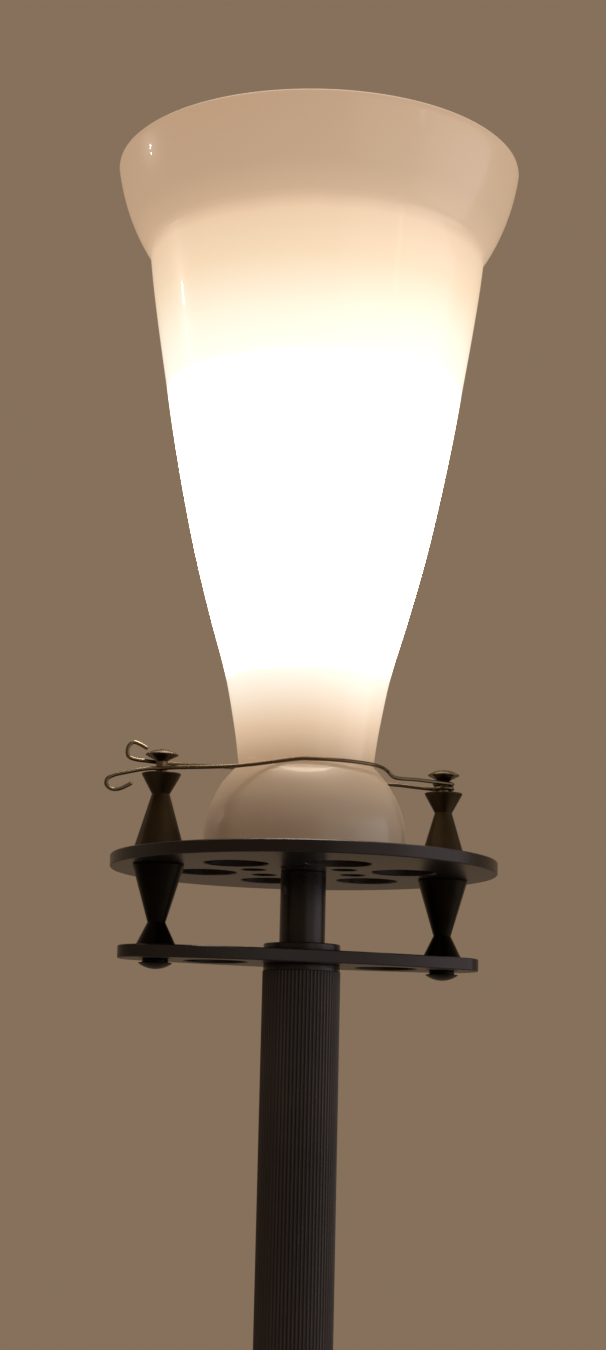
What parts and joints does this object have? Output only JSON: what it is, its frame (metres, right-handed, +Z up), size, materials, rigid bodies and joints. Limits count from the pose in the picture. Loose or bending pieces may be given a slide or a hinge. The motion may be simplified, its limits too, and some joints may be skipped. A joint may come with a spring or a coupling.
{
  "type": "torchiere floor lamp",
  "caption": "Floor uplighter: flared opal glass on a pierced round plate, held by a spring wire clip between turned posts, over a fluted column and round base.",
  "frame": {"origin": "centre of the round base, on the floor", "axes": "+Z up along the column; the two posts stand on the X axis and the spring clip turns on the post at +X; the lead leaves the base at +Y"},
  "size_m": [0.3, 0.3, 1.901],
  "materials": {
    "anodised_graphite": "satin dark graphite anodising",
    "base_enamel": "fine satin enamel",
    "black_bronze": "turned, blackened bronze",
    "polished_metal": "polished, warm bronze",
    "plain_steel": "zinc plated",
    "brass": "satin",
    "bright_aluminium": "spun",
    "black_rubber": "matt",
    "opal_glass": "blown opal, glossy",
    "porcelain": "glazed",
    "clear_glass": "clear",
    "lead_sleeve": "matt"
  },
  "bodies": {
    "lamp": {"base_disc": "base_enamel", "foot_1": "black_rubber", "foot_2": "black_rubber", "foot_3": "black_rubber", "foot_4": "black_rubber", "cable_gland": "black_rubber", "lead_tail": "lead_sleeve", "base_washer": "plain_steel", "base_nut": "plain_steel", "base_collar": "anodised_graphite", "column_tube": "anodised_graphite", "column_bottom_plug": "anodised_graphite", "column_top_plug": "anodised_graphite", "tie_tube": "plain_steel", "lead_riser": "lead_sleeve", "lower_plate": "anodised_graphite", "neck_collar": "anodised_graphite", "neck_tube": "anodised_graphite", "upper_plate": "anodised_graphite", "upper_spacer_left": "black_bronze", "upper_spacer_right": "black_bronze", "lower_spacer_left": "black_bronze", "lower_spacer_right": "black_bronze", "stud_left": "plain_steel", "stud_right": "plain_steel", "top_cap_left": "polished_metal", "top_cap_right": "polished_metal", "bottom_cap_left": "black_bronze", "bottom_cap_right": "black_bronze", "bottom_washer_left": "black_bronze", "bottom_washer_right": "black_bronze", "glass_gasket": "black_rubber", "glass_shade": "opal_glass", "top_washer": "plain_steel", "top_nut": "plain_steel", "riser_sleeve": "brass", "heat_shield": "bright_aluminium", "holder_cap": "brass", "holder_nut": "plain_steel", "holder_body": "porcelain", "holder_shell": "brass", "holder_contact": "brass"},
    "clip_front": {"clip_front_leg": "polished_metal"},
    "clip_back": {"clip_back_leg": "polished_metal"},
    "bulb": {"bulb_tip": "brass", "bulb_cap": "bright_aluminium", "bulb_glass": "clear_glass", "bulb_stem": "clear_glass"}
  },
  "joints": [
    {"name": "clip_front_open", "type": "hinge", "parent": "lamp", "child": "clip_front", "pos_m": [0.0975, 0, 1.4864], "axis": [0, 0, 1], "range_deg": [0, 22], "stiffness_Nm_per_rad": 1.5, "springref_deg": -5.73},
    {"name": "clip_back_open", "type": "hinge", "parent": "lamp", "child": "clip_back", "pos_m": [0.0975, 0, 1.4833], "axis": [0, 0, -1], "range_deg": [0, 22], "stiffness_Nm_per_rad": 1.5, "springref_deg": -5.73},
    {"name": "bulb_lift", "type": "slide", "parent": "lamp", "child": "bulb", "axis": [0, 0, 1], "range_m": [0, 0.026]}
  ]
}
